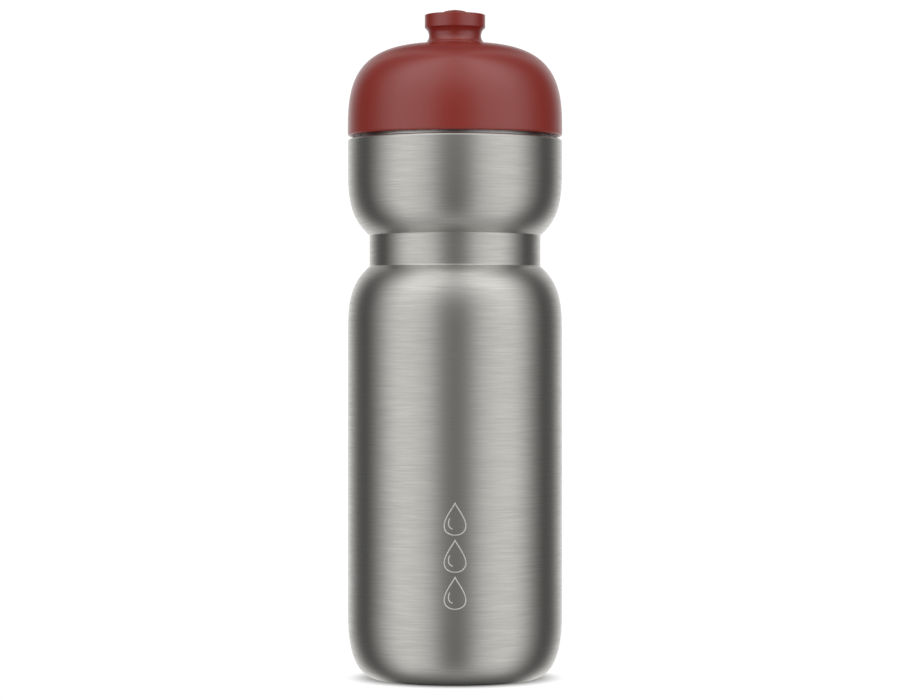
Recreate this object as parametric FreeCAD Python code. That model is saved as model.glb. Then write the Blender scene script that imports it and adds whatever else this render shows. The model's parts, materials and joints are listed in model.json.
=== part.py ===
"""Insulated steel bicycle bottle with a screw lid and a push-pull spout, in millimetres.

The bottle stands on the XY plane with its axis on Z. The origin is the middle of the foot ring,
the front is -Y. Each function below makes one sub-part at its place with the bottle closed.
"""
import FreeCAD
import Part
import math
import os

from FreeCAD import Vector

# Outside of the flask
BODY_R = 37.0
WAIST_R = 29.55
SHELL_WALL = 0.5
SHELL_TOP_Z = 186.3
SHELL_TOP_FILLET = 0.97
WAIST_LOW_Z = 142.3
WAIST_HIGH_Z = 153.05
BULGE_HEIGHT = 22.2        # from a waist corner to where the wall is straight
FOOT_R = 26.2              # outer edge of the flat foot ring
FOOT_INNER_R = 24.8
HEM_BEND = 0.9
HEM_TOP_Z = 3.4
FOOT_CURVE_TOP_Z = 21.9

# Neck and screw thread
MOUTH_R = 30.7
NECK_R = 31.5              # root of the outside thread
COLLAR_R = 32.5
COLLAR_TOP_Z = 188.6
NECK_BOTTOM_Z = 185.0
RIM_Z = 199.0
THREAD_LEAD = 6.0
THREAD_ROOT_WIDTH = 2.2
THREAD_CREST_WIDTH = 1.0
NECK_THREAD_CREST_R = 32.5
NECK_THREAD_START_Z = 190.6
NECK_THREAD_TURNS = 1.13
LID_BORE_R = 32.8          # root of the inside thread
LID_THREAD_CREST_R = 31.9
LID_THREAD_BELOW = 1.75    # the lid's ridge runs this far under the neck's
LID_THREAD_START_DEG = 60.0
LID_THREAD_TURNS = 1.0

# Inner vessel
LINER_R = 28.05
LINER_WALL = 0.4
LINER_SEAM_Z = 20.0
LINER_FLARE_Z = 178.0
LINER_FLOOR_Z = 7.6

# Lid
DOME_R = 37.09
DOME_WALL = 1.8
DOME_BOTTOM_Z = 187.3
DOME_EDGE_FILLET = 0.97
DOME_STRAIGHT_TOP_Z = 189.2
DOME_TOP_Z = 219.13
DOME_SHOULDER_R = 10.3
SPOUT_HOLE_R = 7.8
BOSS_R = 9.7
BOSS_BOTTOM_Z = 204.45
SLEEVE_WALL_R = 34.35      # outside of the threaded wall
DECK_Z = 201.0             # underside of the deck
DECK_THICKNESS = 1.6
DECK_TOP_Z = DECK_Z + DECK_THICKNESS
VENT_Y = 21.0

# Spout
STEM_R = 5.6
STEM_BORE_R = 4.2
STEM_HEAD_R = 6.3
STEM_HEAD_BOTTOM_Z = 223.7
STEM_RIM_Z = 226.5
STEM_FLANGE_R = 11.0
PLUG_R = 3.85
PLUG_TOP_Z = 231.1
RUNNING_GAP = 0.05
SLEEVE_R = 7.5
SLEEVE_BOTTOM_Z = 213.5
SLEEVE_STEP_Z = 217.5
SEAT_Z = 226.8             # underside of the valve seat
NOZZLE_BOTTOM_Z = 219.35
NOZZLE_FLANGE_R = 10.47
NOZZLE_WAIST_R = 9.03
NOZZLE_TOP_Z = 229.4

CONTACT_GAP = 0.02         # left between pieces that are pressed or bonded together


def at(r, z):
    """A point of an outline, r from the axis and z up."""
    return Vector(r, 0, z)


def mitred(poles, distance):
    """The poles of a curve that runs beside the one with these poles, to the left of its direction."""
    legs = [(b - a).normalize() for a, b in zip(poles, poles[1:])]
    normals = [Vector(-leg.z, 0, leg.x) for leg in legs]
    moved = []
    for i, pole in enumerate(poles):
        before = normals[max(i - 1, 0)]
        after = normals[min(i, len(normals) - 1)]
        moved.append(pole + (before + after) * (distance / (1 + before.dot(after))))
    return moved


class Outline:
    """A closed half-section, drawn edge by edge and then turned about Z."""

    def __init__(self, r, z):
        self.first = self.last = at(r, z)
        self.edges = []

    def line(self, r, z):
        self.edges.append(Part.LineSegment(self.last, at(r, z)).toShape())
        self.last = at(r, z)
        return self

    def arc(self, through, end):
        self.edges.append(Part.Arc(self.last, at(*through), at(*end)).toShape())
        self.last = at(*end)
        return self

    def corner(self, centre, radius, from_deg, to_deg):
        """A line to a round corner, and the quarter or part circle round it."""
        angles = [math.radians(a) for a in (from_deg, (from_deg + to_deg) / 2, to_deg)]
        start, middle, end = [
            (centre[0] + radius * math.cos(a), centre[1] + radius * math.sin(a)) for a in angles
        ]
        if (at(*start) - self.last).Length > 1e-6:
            self.line(*start)
        return self.arc(middle, end)

    def curve(self, poles):
        """A line to the first pole, if it isn't there yet, and a Bezier curve on the poles."""
        if (poles[0] - self.last).Length > 1e-6:
            self.line(poles[0].x, poles[0].z)
        curve = Part.BezierCurve()
        curve.setPoles(poles)
        self.edges.append(curve.toShape())
        self.last = poles[-1]
        return self

    def cap(self, z):
        """A spherical cap from the last point to height z on the axis."""
        rise = z - self.last.z
        radius = (self.last.x ** 2 + rise ** 2) / (2 * abs(rise))
        centre_z = z - math.copysign(radius, rise)
        half = math.asin(self.last.x / radius) / 2
        middle_z = centre_z + math.copysign(radius * math.cos(half), rise)
        return self.arc((radius * math.sin(half), middle_z), (0, z))

    def turned(self):
        if (self.first - self.last).Length > 1e-6:
            self.line(self.first.x, self.first.z)
        face = Part.Face(Part.Wire(self.edges))
        return face.revolve(Vector(0, 0, 0), Vector(0, 0, 1), 360)


def cylinder(radius, low_z, high_z, x=0.0, y=0.0):
    return Part.makeCylinder(radius, high_z - low_z, Vector(x, y, low_z))


def ring(radius, section_radius, z):
    """An O-ring."""
    return Part.makeTorus(radius, section_radius, Vector(0, 0, z), Vector(0, 0, 1))


def helical_ridge(wall_r, crest_r, start_z, start_deg, turns):
    """A screw thread's ridge as one solid that fades into the wall over its last 30 degrees."""
    fade_deg = 30.0
    step_deg = 10.0
    embed = 0.35 if wall_r < crest_r else -0.35
    count = int(round(turns * 360 / step_deg))
    sections = []
    for i in range(count + 1):
        turned_deg = i * step_deg
        to_end = min(turned_deg, count * step_deg - turned_deg)
        share = 0.5 - 0.5 * math.cos(math.pi * min(1.0, to_end / fade_deg))
        height = 0.12 * (wall_r - crest_r) * (1 - share) + (crest_r - wall_r) * share
        centre_z = start_z + THREAD_LEAD * turned_deg / 360
        angle = math.radians(start_deg + turned_deg)
        corners = [
            (wall_r - embed, -THREAD_ROOT_WIDTH / 2 - 0.2),
            (wall_r + height, -THREAD_CREST_WIDTH / 2),
            (wall_r + height, THREAD_CREST_WIDTH / 2),
            (wall_r - embed, THREAD_ROOT_WIDTH / 2 + 0.2),
        ]
        points = [
            Vector(r * math.cos(angle), r * math.sin(angle), centre_z + dz) for r, dz in corners
        ]
        sections.append(Part.makePolygon(points + points[:1]))
    return Part.makeLoft(sections, True, False)


def bulge_poles(corner_z, upward):
    """The curve from a waist corner out to the straight wall, the same above and below the waist."""
    side = 1 if upward else -1
    return [
        at(WAIST_R, corner_z),
        at(35.95, corner_z + side * 5.5),
        at(BODY_R, corner_z + side * 12.0),
        at(BODY_R, corner_z + side * BULGE_HEIGHT),
    ]


def foot_poles():
    return [at(FOOT_R, 0), at(34.3, 0), at(BODY_R, 9.6), at(BODY_R, FOOT_CURVE_TOP_Z)]


def outer_shell():
    """Drawn and bulged steel wall, from the hemmed foot to the flange round the neck."""
    lower, upper = bulge_poles(WAIST_LOW_Z, False), bulge_poles(WAIST_HIGH_Z, True)
    inner_foot = mitred(foot_poles(), SHELL_WALL)
    inner_lower = mitred(lower[::-1] + upper[:1], SHELL_WALL)[:-1]
    inner_upper = mitred(lower[:1] + upper, SHELL_WALL)[1:]
    fillet_z = SHELL_TOP_Z - SHELL_TOP_FILLET
    fillet_r = BODY_R - SHELL_TOP_FILLET
    outline = Outline(FOOT_INNER_R, 0)
    outline.curve(foot_poles())
    outline.curve(lower[::-1])
    outline.curve(upper)
    outline.corner((fillet_r, fillet_z), SHELL_TOP_FILLET, 0, 90)
    outline.line(NECK_R + CONTACT_GAP, SHELL_TOP_Z)
    outline.line(NECK_R + CONTACT_GAP, SHELL_TOP_Z - SHELL_WALL)
    outline.corner((fillet_r, fillet_z), SHELL_TOP_FILLET - SHELL_WALL, 90, 0)
    outline.curve(inner_upper[::-1])
    outline.curve(inner_lower[::-1])
    outline.curve(inner_foot[::-1])
    outline.corner((FOOT_INNER_R, HEM_BEND), HEM_BEND - SHELL_WALL, 270, 180)
    outline.line(FOOT_INNER_R - HEM_BEND + SHELL_WALL, HEM_TOP_Z)
    outline.line(FOOT_INNER_R - HEM_BEND, HEM_TOP_Z)
    outline.corner((FOOT_INNER_R, HEM_BEND), HEM_BEND, 180, 270)
    return outline.turned()


def outer_base():
    """Pressed dish welded inside the hemmed foot, with the pumping hole in its raised middle."""
    rim_r = FOOT_INNER_R - HEM_BEND - CONTACT_GAP
    wall = 0.6
    top_z, well_z = 3.3, 4.8
    hole_r = 0.9
    outline = Outline(hole_r, well_z)
    outline.line(5.5, well_z).line(9.0, top_z).line(rim_r, top_z).line(rim_r, 1.6)
    outline.line(rim_r - wall, 1.6).line(rim_r - wall, top_z - wall)
    outline.line(8.7, top_z - wall).line(5.2, well_z - wall).line(hole_r, well_z - wall)
    return outline.turned()


def vacuum_plug():
    """Glass solder bead that closes the pumping hole."""
    head_z, tip_z = 4.18, 4.7
    outline = Outline(0, tip_z)
    outline.line(0.85, tip_z).line(0.85, head_z).line(2.4, head_z).line(2.4, 3.7).cap(2.9)
    return outline.turned()


def base_cover():
    """Thin dished disc that hides the pumping hole."""
    edge_r, wall = 23.2, 0.5
    outline = Outline(0, 1.8)
    outline.curve([at(0, 1.8), at(9, 1.8), at(15, 1.0), at(edge_r - 0.25, 1.0)])
    outline.arc((edge_r, 1.25), (edge_r - 0.25, 1.0 + wall))
    outline.curve([at(edge_r - 0.25, 1.5), at(15, 1.5), at(9, 2.3), at(0, 2.3)])
    return outline.turned()


def getter_clip():
    """Pressed cup, spot-welded to the outer base, that holds the getter."""
    x = 14.5
    cup = cylinder(5.0, 3.32, 4.6, x).cut(cylinder(4.6, 3.5, 5.0, x))
    return cup.cut(Part.makeBox(12, 3, 1.2, Vector(x - 6, -1.5, 3.9)))


def getter_pellet():
    """Sintered pellet that soaks up stray gas in the vacuum."""
    return cylinder(4.5, 3.52, 5.2, 14.5)


def liner_base():
    """Deep-drawn floor of the inner vessel."""
    inner_r = LINER_R - LINER_WALL
    outline = Outline(0, LINER_FLOOR_Z + 1.0)
    outline.curve([
        at(0, LINER_FLOOR_Z + 1.0), at(8, LINER_FLOOR_Z + 1.0), at(12, LINER_FLOOR_Z), at(17, LINER_FLOOR_Z)
    ])
    outline.curve([
        at(17, LINER_FLOOR_Z), at(24, LINER_FLOOR_Z), at(LINER_R, 12.0), at(LINER_R, LINER_SEAM_Z)
    ])
    outline.line(inner_r, LINER_SEAM_Z)
    floor_z = LINER_FLOOR_Z + LINER_WALL
    outline.curve([at(inner_r, LINER_SEAM_Z), at(inner_r, 12.4), at(23.8, floor_z), at(17, floor_z)])
    outline.curve([at(17, floor_z), at(12, floor_z), at(8, floor_z + 1.0), at(0, floor_z + 1.0)])
    return outline.turned()


def liner_tube():
    """Straight wall of the inner vessel, flared at the top to meet the neck."""
    inner_r = LINER_R - LINER_WALL
    top_z = NECK_BOTTOM_Z - CONTACT_GAP
    flare_r = MOUTH_R + 0.5
    outline = Outline(LINER_R, LINER_SEAM_Z + CONTACT_GAP)
    outline.curve([at(LINER_R, LINER_FLARE_Z), at(LINER_R, 181.5), at(flare_r, 181.5), at(flare_r, top_z)])
    outline.curve([at(MOUTH_R, top_z), at(MOUTH_R, 181.9), at(inner_r, 181.9), at(inner_r, LINER_FLARE_Z)])
    outline.line(inner_r, LINER_SEAM_Z + CONTACT_GAP)
    return outline.turned()


def heat_shield_foil():
    """Reflective foil wrapped round the inner vessel inside the vacuum."""
    foil_r = LINER_R + 0.1
    return cylinder(foil_r + 0.1, 24.0, 177.0).cut(cylinder(foil_r, 23.0, 178.0))


def neck_ring():
    """Threaded steel neck, welded to the shell's flange and the inner vessel."""
    rim_round = (NECK_R - MOUTH_R) / 2
    outline = Outline(MOUTH_R, NECK_BOTTOM_Z)
    outline.line(NECK_R, NECK_BOTTOM_Z).line(NECK_R, SHELL_TOP_Z + CONTACT_GAP)
    outline.line(COLLAR_R, SHELL_TOP_Z + CONTACT_GAP).line(COLLAR_R, COLLAR_TOP_Z - 0.7)
    outline.line(NECK_R, COLLAR_TOP_Z)
    outline.corner((NECK_R - rim_round, RIM_Z - rim_round), rim_round, 0, 180)
    thread = helical_ridge(NECK_R, NECK_THREAD_CREST_R, NECK_THREAD_START_Z, 0, NECK_THREAD_TURNS)
    return outline.turned().fuse(thread)


def lid_gasket():
    """Silicone ring that the rim of the neck closes on."""
    outline = Outline(30.2, 199.05)
    outline.line(32.7, 199.05).line(32.7, 200.95).line(30.2, 200.95)
    outline.line(30.2, 200.4).line(29.7, 200.2).line(29.7, 199.6).line(30.2, 199.4)
    return outline.turned()


def dome_poles():
    return [
        at(DOME_R, DOME_STRAIGHT_TOP_Z),
        at(DOME_R, 201.95),
        at(36.9, 218.8),
        at(DOME_SHOULDER_R, DOME_TOP_Z),
    ]


def lid_dome():
    """Moulded cap of the lid, with a boss inside that clamps the spout's stem to the deck."""
    inner = mitred(dome_poles(), DOME_WALL)
    inner_r = DOME_R - DOME_WALL
    edge_z = DOME_BOTTOM_Z + DOME_EDGE_FILLET
    outline = Outline(inner_r, DOME_BOTTOM_Z)
    outline.corner((DOME_R - DOME_EDGE_FILLET, edge_z), DOME_EDGE_FILLET, -90, 0)
    outline.curve(dome_poles())
    outline.line(SPOUT_HOLE_R + 0.3, DOME_TOP_Z + 0.03).line(SPOUT_HOLE_R, DOME_TOP_Z - 0.27)
    outline.line(SPOUT_HOLE_R, BOSS_BOTTOM_Z).line(BOSS_R, BOSS_BOTTOM_Z).line(BOSS_R + 0.6, inner[3].z)
    outline.curve(inner[::-1])
    dome = outline.turned()
    for turn in range(3):
        slot = Part.makeBox(6, 2.4, 4, Vector(SPOUT_HOLE_R - 2, -1.2, 211.0))
        slot.rotate(Vector(0, 0, 0), Vector(0, 0, 1), 90 + 120 * turn)
        dome = dome.cut(slot)
    return dome


def lid_insert():
    """Threaded wall and deck, welded into the dome along its lower edge."""
    flange_r = DOME_R - DOME_WALL - CONTACT_GAP
    flange_z = (187.6, 189.4)
    top_r = 33.7
    outline = Outline(LID_BORE_R, flange_z[0])
    outline.line(flange_r, flange_z[0]).line(flange_r, flange_z[1]).line(SLEEVE_WALL_R, flange_z[1] + 0.6)
    outline.line(SLEEVE_WALL_R, DECK_Z - 1.5).line(top_r, DECK_TOP_Z)
    outline.line(5.0, DECK_TOP_Z).line(5.0, DECK_Z).line(LID_BORE_R, DECK_Z)
    insert = outline.turned()
    start_turn = LID_THREAD_START_DEG / 360
    start_z = NECK_THREAD_START_Z - LID_THREAD_BELOW + THREAD_LEAD * start_turn
    thread = helical_ridge(LID_BORE_R, LID_THREAD_CREST_R, start_z, LID_THREAD_START_DEG, LID_THREAD_TURNS)
    insert = insert.fuse(thread)
    for turn in range(12):
        web = Part.makeBox(0.8, 1.2, 7.0, Vector(SLEEVE_WALL_R - 0.2, -0.6, flange_z[1]))
        web.rotate(Vector(0, 0, 0), Vector(0, 0, 1), 30 * turn)
        insert = insert.fuse(web)
    insert = insert.cut(cylinder(1.2, DECK_Z - 1, DECK_TOP_Z + 1, 0, VENT_Y))
    for turn in range(6):
        angle = math.radians(60 * turn)
        x, y = 2.3 * math.cos(angle), VENT_Y + 2.3 * math.sin(angle)
        insert = insert.cut(cylinder(0.5, DECK_Z - 1, DECK_TOP_Z + 1, x, y))
    return insert


def vent_valve():
    """Silicone mushroom valve under the deck that lets air in as the drink flows out."""
    cap_z = DECK_Z - 0.05
    bulb_z = DECK_TOP_Z + 0.65
    outline = Outline(0, bulb_z + 1.6)
    outline.line(0.7, bulb_z + 1.6).line(1.7, bulb_z).line(1.1, bulb_z).line(1.1, cap_z)
    outline.line(3.6, cap_z).line(3.6, cap_z - 0.4).cap(cap_z - 1.3)
    valve = outline.turned()
    valve.translate(Vector(0, VENT_Y, 0))
    return valve


def spout_stem():
    """Fixed tube of the spout, with the plug that closes the nozzle held on three webs."""
    bottom_z = DECK_TOP_Z + 0.05
    flange_z = BOSS_BOTTOM_Z - 0.05
    outline = Outline(STEM_BORE_R, bottom_z)
    outline.line(7.3, bottom_z).line(7.3, bottom_z + 1.3).line(8.7, bottom_z + 1.3).line(8.7, bottom_z)
    outline.line(STEM_FLANGE_R, bottom_z).line(STEM_FLANGE_R, flange_z).line(STEM_R + 0.8, flange_z)
    outline.line(STEM_R, flange_z + 0.8).line(STEM_R, STEM_HEAD_BOTTOM_Z)
    outline.line(STEM_HEAD_R, STEM_HEAD_BOTTOM_Z).line(STEM_HEAD_R, STEM_RIM_Z - 0.5)
    outline.line(STEM_HEAD_R - 0.5, STEM_RIM_Z).line(STEM_BORE_R, STEM_RIM_Z)
    stem = outline.turned()
    post_r, web_z = 2.0, (219.5, STEM_RIM_Z - 0.4)
    plug = Outline(0, web_z[0] - 1.5)
    plug.line(post_r, web_z[0]).line(post_r, 225.6).line(PLUG_R, 227.0)
    plug.line(PLUG_R, PLUG_TOP_Z - 0.65).cap(PLUG_TOP_Z)
    stem = stem.fuse(plug.turned())
    for turn in range(3):
        web = Part.makeBox(3.6, 1.2, web_z[1] - web_z[0], Vector(1.2, -0.6, web_z[0]))
        web.rotate(Vector(0, 0, 0), Vector(0, 0, 1), 120 * turn)
        stem = stem.fuse(web)
    return stem


def stem_seal():
    """O-ring between the stem's flange and the deck."""
    return ring(8.0, 0.6, DECK_TOP_Z + 0.67)


def nozzle_o_ring():
    """O-ring in the nozzle's lower groove, sliding on the stem."""
    return ring(STEM_R + 0.53, 0.5, 215.25)


def nozzle_sleeve():
    """Hard core of the nozzle: guide bore, O-ring groove and valve seat."""
    stem_bore, head_bore = STEM_R + RUNNING_GAP, STEM_HEAD_R + RUNNING_GAP
    seat_r = PLUG_R + RUNNING_GAP
    top_z = 228.0
    outline = Outline(stem_bore, SLEEVE_BOTTOM_Z)
    outline.line(SLEEVE_R, SLEEVE_BOTTOM_Z).line(SLEEVE_R, top_z).line(seat_r, top_z).line(seat_r, SEAT_Z)
    outline.line(head_bore, SEAT_Z).line(head_bore, SLEEVE_STEP_Z).line(stem_bore, SLEEVE_STEP_Z)
    outline.line(stem_bore, 215.9).line(6.75, 215.9).line(6.75, 214.6).line(stem_bore, 214.6)
    return outline.turned()


def nozzle_shell():
    """Soft mouthpiece moulded over the core, waisted for teeth and fingers."""
    bore_r = SLEEVE_R + CONTACT_GAP
    plate_z = 228.0 + CONTACT_GAP
    edge = 0.3
    mouth_r = 4.15
    outline = Outline(bore_r, NOZZLE_BOTTOM_Z)
    outline.line(10.43, NOZZLE_BOTTOM_Z).arc((NOZZLE_WAIST_R, 222.1), (NOZZLE_FLANGE_R, 224.88))
    outline.corner((NOZZLE_FLANGE_R - edge, NOZZLE_TOP_Z - edge), edge, 0, 90)
    outline.line(mouth_r + 0.4, NOZZLE_TOP_Z + 0.15)
    outline.arc((mouth_r + 0.12, NOZZLE_TOP_Z + 0.03), (mouth_r, NOZZLE_TOP_Z - 0.25))
    outline.line(mouth_r, plate_z).line(bore_r, plate_z)
    return outline.turned()


PIECES = [
    outer_shell, outer_base, vacuum_plug, base_cover, getter_clip, getter_pellet, liner_base,
    liner_tube, heat_shield_foil, neck_ring, lid_gasket, lid_dome, lid_insert, vent_valve,
    spout_stem, stem_seal, nozzle_o_ring, nozzle_sleeve, nozzle_shell,
]

os.makedirs("parts", exist_ok=True)
for piece in PIECES:
    shape = piece()
    solids = shape.Solids
    result = solids[0] if len(solids) == 1 else Part.Compound(solids)
    result.exportStep(f"parts/{piece.__name__}.step")
    print(f"{piece.__name__}: {len(solids)} solid, {result.Volume:.1f} mm3, valid {result.isValid()}")
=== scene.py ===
import bpy
import json
import math
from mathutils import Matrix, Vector


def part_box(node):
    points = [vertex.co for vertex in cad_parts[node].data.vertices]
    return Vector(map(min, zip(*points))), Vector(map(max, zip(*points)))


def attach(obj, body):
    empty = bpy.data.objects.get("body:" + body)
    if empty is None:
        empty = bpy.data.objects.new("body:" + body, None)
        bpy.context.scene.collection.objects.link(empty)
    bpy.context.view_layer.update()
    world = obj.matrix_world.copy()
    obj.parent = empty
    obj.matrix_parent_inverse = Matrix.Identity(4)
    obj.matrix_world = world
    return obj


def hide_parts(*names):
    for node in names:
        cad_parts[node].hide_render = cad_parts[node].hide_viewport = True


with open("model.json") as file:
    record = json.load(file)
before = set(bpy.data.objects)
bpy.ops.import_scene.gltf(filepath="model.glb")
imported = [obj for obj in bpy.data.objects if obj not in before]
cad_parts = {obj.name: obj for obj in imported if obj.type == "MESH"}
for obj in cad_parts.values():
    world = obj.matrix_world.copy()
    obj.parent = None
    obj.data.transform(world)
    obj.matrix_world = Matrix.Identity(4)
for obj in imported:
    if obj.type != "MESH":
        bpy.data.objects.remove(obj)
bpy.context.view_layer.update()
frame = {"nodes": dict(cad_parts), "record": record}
nodes = frame["nodes"]
mounts = {m["name"]: m for m in frame["record"]["mounts"]}
print("frame loaded:", len(nodes), "nodes")

mm = 0.001


def newNode(tree, kind, values=None, **settings):
    node = tree.nodes.new(kind)
    for key, value in settings.items():
        setattr(node, key, value)
    for key, value in (values or {}).items():
        node.inputs[key].default_value = value
    return node


def join(tree, fromSocket, toSocket):
    tree.links.new(fromSocket, toSocket)


def mathNode(tree, operation, a, b=None, clamp=False):
    node = newNode(tree, "ShaderNodeMath", operation=operation, use_clamp=clamp)
    for index, value in enumerate((a, b)):
        if value is None:
            continue
        if isinstance(value, (int, float)):
            node.inputs[index].default_value = value
        else:
            join(tree, value, node.inputs[index])
    return node.outputs[0]


def newGroup(name, inputs, outputs):
    # a shader node group with named sockets; inputs are (name, type, default)
    group = bpy.data.node_groups.new(name, "ShaderNodeTree")
    for label, kind, default in inputs:
        socket = group.interface.new_socket(label, in_out="INPUT", socket_type=kind)
        if default is not None:
            socket.default_value = default
    for label, kind in outputs:
        group.interface.new_socket(label, in_out="OUTPUT", socket_type=kind)
    return group, newNode(group, "NodeGroupInput"), newNode(group, "NodeGroupOutput")


brushing = {
    # each layer of lines: width and length as parts of the group's own, a shift of the seed, detail
    "fine": (1.0, 1.0, 0.0, 2.0),
    "broad": (5.0, 1.6, 17.0, 1.0),
    "patch": (30.0, 2.2, 41.0, 1.0),
    "rare": (0.8, 1.8, 71.0, 0.0),
    "shares": {"fine": 0.80, "broad": 0.14, "patch": 0.06},
    "toneRange": (0.33, 0.67),
    "scratchRange": (0.70, 0.80),
    "scratchDepth": 0.25,
}


def makeBrushGroup():
    # lines brushed round the Z axis: noise that is long round the axis and fine along the profile
    group, source, result = newGroup(
        "brushLines",
        [
            ("Coordinates", "NodeSocketVector", None),
            ("Line Length", "NodeSocketFloat", 0.018),
            ("Line Width", "NodeSocketFloat", 0.0004),
            ("Seed", "NodeSocketFloat", 0.0),
        ],
        [("Tone", "NodeSocketFloat"), ("Scratches", "NodeSocketFloat"), ("Height", "NodeSocketFloat")],
    )
    split = newNode(group, "ShaderNodeSeparateXYZ")
    join(group, source.outputs["Coordinates"], split.inputs[0])
    radiusSquared = mathNode(
        group, "ADD",
        mathNode(group, "POWER", split.outputs["X"], 2.0), mathNode(group, "POWER", split.outputs["Y"], 2.0),
    )
    radius = mathNode(group, "SQRT", radiusSquared)

    def layer(widthFactor, lengthFactor, seedShift, detail):
        perLength = mathNode(
            group, "DIVIDE", 1.0, mathNode(group, "MULTIPLY", source.outputs["Line Length"], lengthFactor)
        )
        perWidth = mathNode(
            group, "DIVIDE", 1.0, mathNode(group, "MULTIPLY", source.outputs["Line Width"], widthFactor)
        )
        place = newNode(group, "ShaderNodeCombineXYZ")
        join(group, mathNode(group, "MULTIPLY", split.outputs["X"], perLength), place.inputs["X"])
        join(group, mathNode(group, "MULTIPLY", split.outputs["Y"], perLength), place.inputs["Y"])
        join(group, mathNode(group, "MULTIPLY", split.outputs["Z"], perWidth), place.inputs["Z"])
        across = mathNode(group, "MULTIPLY", radius, perWidth)
        shifted = mathNode(group, "ADD", across, mathNode(group, "ADD", source.outputs["Seed"], seedShift))
        noise = newNode(group, "ShaderNodeTexNoise", {"Scale": 1.0, "Detail": detail}, noise_dimensions="4D")
        join(group, place.outputs[0], noise.inputs["Vector"])
        join(group, shifted, noise.inputs["W"])
        return noise.outputs["Fac"]

    def stretched(value, limits):
        node = newNode(group, "ShaderNodeMapRange", {"From Min": limits[0], "From Max": limits[1]})
        join(group, value, node.inputs["Value"])
        return node.outputs[0]

    fine, broad, patch, rare = (layer(*brushing[key]) for key in ("fine", "broad", "patch", "rare"))
    shares = brushing["shares"]
    lines = mathNode(group, "MULTIPLY", fine, shares["fine"])
    streaks = mathNode(group, "ADD", lines, mathNode(group, "MULTIPLY", broad, shares["broad"]))
    tone = mathNode(group, "ADD", streaks, mathNode(group, "MULTIPLY", patch, shares["patch"]))
    scratches = stretched(rare, brushing["scratchRange"])
    cut = mathNode(group, "MULTIPLY", scratches, brushing["scratchDepth"])
    join(group, stretched(tone, brushing["toneRange"]), result.inputs["Tone"])
    join(group, scratches, result.inputs["Scratches"])
    join(group, mathNode(group, "SUBTRACT", fine, cut), result.inputs["Height"])
    return group


def makeGrainGroup():
    # the fine spark-eroded grain of a matt moulding, with a faint large unevenness
    group, source, result = newGroup(
        "mouldGrain",
        [
            ("Coordinates", "NodeSocketVector", None),
            ("Grain Size", "NodeSocketFloat", 0.00025),
            ("Patch Size", "NodeSocketFloat", 0.012),
        ],
        [("Tone", "NodeSocketFloat"), ("Patches", "NodeSocketFloat"), ("Height", "NodeSocketFloat")],
    )

    def noise(size, detail):
        node = newNode(group, "ShaderNodeTexNoise", {"Detail": detail, "Roughness": 0.6})
        join(group, source.outputs["Coordinates"], node.inputs["Vector"])
        join(group, mathNode(group, "DIVIDE", 1.0, size), node.inputs["Scale"])
        return node.outputs["Fac"]

    grain = noise(source.outputs["Grain Size"], 2.0)
    patches = noise(source.outputs["Patch Size"], 3.0)
    pits = newNode(group, "ShaderNodeTexVoronoi", feature="F1")
    join(group, source.outputs["Coordinates"], pits.inputs["Vector"])
    join(group, mathNode(group, "DIVIDE", 0.6, source.outputs["Grain Size"]), pits.inputs["Scale"])
    join(group, grain, result.inputs["Tone"])
    join(group, patches, result.inputs["Patches"])
    join(group, mathNode(group, "ADD", mathNode(group, "MULTIPLY", grain, 0.6),
                         mathNode(group, "MULTIPLY", pits.outputs["Distance"], 0.4)), result.inputs["Height"])
    return group


wearing = {
    # pointiness runs from 0 in sharp hollows to 1 on sharp ridges, with 0.5 on flats
    "ridgeSpan": 0.08,
    "unevenness": 0.06,
    "unevenScale": 900.0,
    "hollowRange": (0.493, 0.46),
}


def makeEdgeGroup():
    # masks from the surface's own curvature: rims that hands and cages polish, and concave corners that get a
    # painted highlight
    group, source, result = newGroup(
        "edgeWearAndHighlight",
        [("Coordinates", "NodeSocketVector", None), ("Sharpness", "NodeSocketFloat", 0.56)],
        [("Mask", "NodeSocketFloat"), ("HollowHighlight", "NodeSocketFloat")],
    )
    shape = newNode(group, "ShaderNodeNewGeometry")
    patchy = newNode(group, "ShaderNodeTexNoise", {"Scale": wearing["unevenScale"], "Detail": 3.0})
    join(group, source.outputs["Coordinates"], patchy.inputs["Vector"])
    centred = mathNode(group, "SUBTRACT", patchy.outputs["Fac"], 0.5)
    uneven = mathNode(group, "MULTIPLY", centred, wearing["unevenness"])
    lifted = mathNode(group, "ADD", shape.outputs["Pointiness"], uneven)
    ramp = newNode(group, "ShaderNodeMapRange")
    join(group, lifted, ramp.inputs["Value"])
    join(group, source.outputs["Sharpness"], ramp.inputs["From Min"])
    ridgeEnd = mathNode(group, "ADD", source.outputs["Sharpness"], wearing["ridgeSpan"])
    join(group, ridgeEnd, ramp.inputs["From Max"])
    join(group, ramp.outputs[0], result.inputs["Mask"])
    # the concave-corner mask, which the steel uses for a painted highlight
    start, full = wearing["hollowRange"]
    hollowHighlight = newNode(group, "ShaderNodeMapRange", {"From Min": start, "From Max": full})
    join(group, shape.outputs["Pointiness"], hollowHighlight.inputs["Value"])
    join(group, hollowHighlight.outputs[0], result.inputs["HollowHighlight"])
    return group


brushLines = makeBrushGroup()
mouldGrain = makeGrainGroup()
edgeWearAndHighlight = makeEdgeGroup()
print("shared effects made")


def startMaterial(name):
    material = bpy.data.materials.new(name)
    material.use_nodes = True
    tree = material.node_tree
    tree.nodes.clear()
    shader = newNode(tree, "ShaderNodeBsdfPrincipled")
    output = newNode(tree, "ShaderNodeOutputMaterial")
    join(tree, shader.outputs[0], output.inputs["Surface"])
    place = newNode(tree, "ShaderNodeTexCoord")
    return material, tree, shader, place.outputs["Object"]


def useGroup(tree, group, coordinates, values):
    node = newNode(tree, "ShaderNodeGroup", node_tree=group)
    join(tree, coordinates, node.inputs["Coordinates"])
    for key, value in values.items():
        node.inputs[key].default_value = value
    return node


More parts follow.
